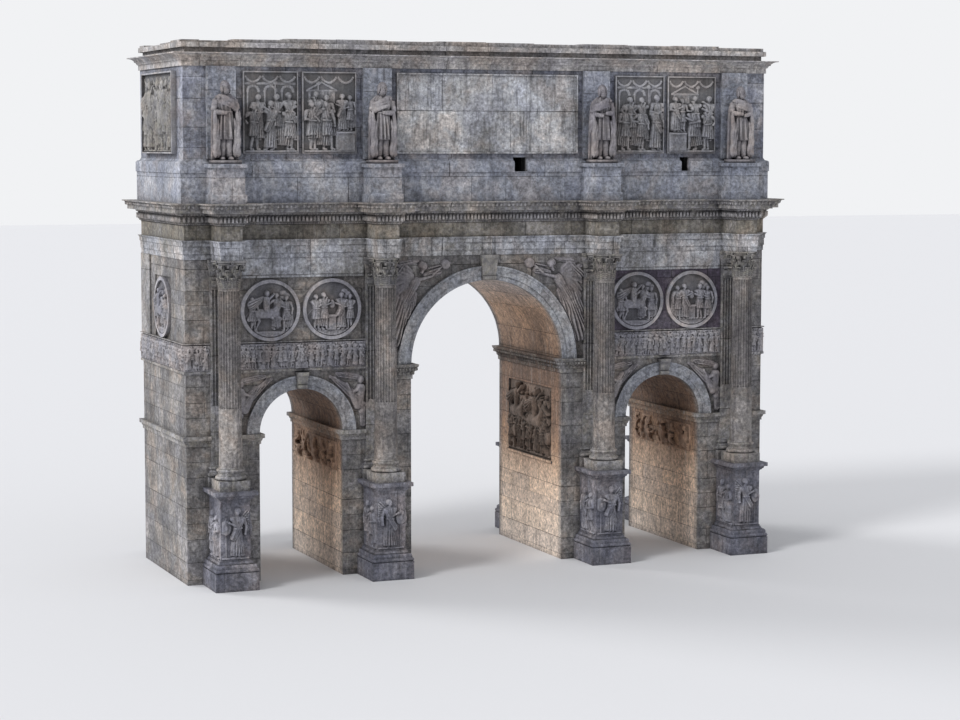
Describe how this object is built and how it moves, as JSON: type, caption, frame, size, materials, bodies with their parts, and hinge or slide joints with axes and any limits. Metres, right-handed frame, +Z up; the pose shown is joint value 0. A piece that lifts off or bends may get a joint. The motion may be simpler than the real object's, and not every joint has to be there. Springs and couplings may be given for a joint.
{
  "type": "triumphal arch",
  "caption": "Three-passage marble triumphal arch with free-standing fluted columns on pedestals, a stepped entablature, and an attic with statues and relief panels.",
  "frame": {"origin": "middle of the plan at ground level", "axes": "+X to the right along the long front as one faces it, +Y through the passages away from the viewer, +Z up"},
  "size_m": [26.02, 10.72, 20.82],
  "materials": {
    "masonry_marble": "weathered grey-white marble blocks with tight joints",
    "trim_marble": "weathered moulded marble with grey-green lichen",
    "relief_marble": "carved weathered white marble",
    "column_marble": "worn pale yellow marble",
    "statue_marble": "weathered warm white marble with violet veins",
    "porphyry": "dull dark purple porphyry slabs"
  },
  "bodies": {
    "root": {"left_outer_pier": "masonry_marble", "left_inner_pier": "masonry_marble", "right_inner_pier": "masonry_marble", "right_outer_pier": "masonry_marble", "left_side_arch": "masonry_marble", "right_side_arch": "masonry_marble", "central_arch": "masonry_marble", "left_bay_wall": "masonry_marble", "right_bay_wall": "masonry_marble", "attic_front_wall": "masonry_marble", "attic_back_wall": "masonry_marble", "attic_left_wall": "masonry_marble", "attic_right_wall": "masonry_marble", "attic_roof": "masonry_marble", "frieze": "masonry_marble", "frieze_breaks": "masonry_marble", "bay_bands": "masonry_marble", "inscription_panels": "masonry_marble", "attic_pilasters": "masonry_marble", "side_imposts": "trim_marble", "central_imposts": "trim_marble", "side_archivolts": "trim_marble", "central_archivolts": "trim_marble", "string_courses": "trim_marble", "pilasters": "trim_marble", "pedestals": "trim_marble", "column_bases": "trim_marble", "capitals": "trim_marble", "architrave": "trim_marble", "architrave_breaks": "trim_marble", "cornice": "trim_marble", "cornice_breaks": "trim_marble", "attic_plinth": "trim_marble", "attic_cornice": "trim_marble", "attic_coping": "trim_marble", "statue_pedestals": "trim_marble", "keystones": "relief_marble", "figure_friezes": "relief_marble", "bay_roundels": "relief_marble", "end_roundels": "relief_marble", "passage_reliefs": "relief_marble", "attic_reliefs": "relief_marble", "column_shafts": "column_marble", "statues": "statue_marble", "porphyry_veneer": "porphyry"}
  },
  "joints": []
}
